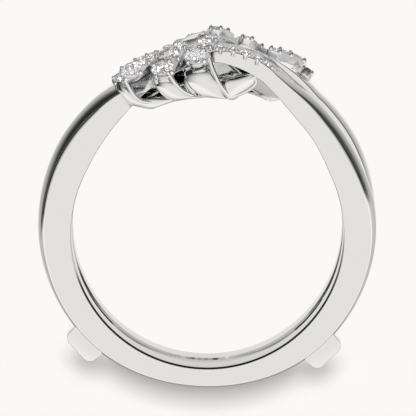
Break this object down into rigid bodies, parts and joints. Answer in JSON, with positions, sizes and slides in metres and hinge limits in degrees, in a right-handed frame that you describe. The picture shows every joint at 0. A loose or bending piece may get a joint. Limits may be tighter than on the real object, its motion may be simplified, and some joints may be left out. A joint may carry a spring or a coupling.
{
  "type": "ring guard enhancer",
  "caption": "Ring guard of two joined bands with a gap between them for a solitaire's shank; slanted petals set with round stones on top.",
  "frame": {"origin": "on the finger's axis, midway between the two bands", "axes": "+Z along the finger, out of the front band; +Y from the finger's axis to the head; the ring lies on its side"},
  "size_m": [0.0216, 0.0229, 0.0075],
  "materials": {
    "polished_metal": "polished rhodium-plated white gold",
    "stone": "clear faceted stone"
  },
  "bodies": {
    "root": {"guard_metal": "polished_metal", "front_stone_1": "stone", "front_stone_2": "stone", "front_stone_3": "stone", "front_stone_4": "stone", "front_stone_5": "stone", "front_stone_6": "stone", "front_stone_7": "stone", "front_stone_8": "stone", "front_stone_9": "stone", "front_stone_10": "stone", "front_stone_11": "stone", "front_stone_12": "stone", "front_stone_13": "stone", "front_stone_14": "stone", "front_stone_15": "stone", "back_stone_1": "stone", "back_stone_2": "stone", "back_stone_3": "stone", "back_stone_4": "stone", "back_stone_5": "stone", "back_stone_6": "stone", "back_stone_7": "stone", "back_stone_8": "stone", "back_stone_9": "stone", "back_stone_10": "stone", "back_stone_11": "stone", "back_stone_12": "stone", "back_stone_13": "stone", "back_stone_14": "stone", "back_stone_15": "stone"}
  },
  "joints": []
}
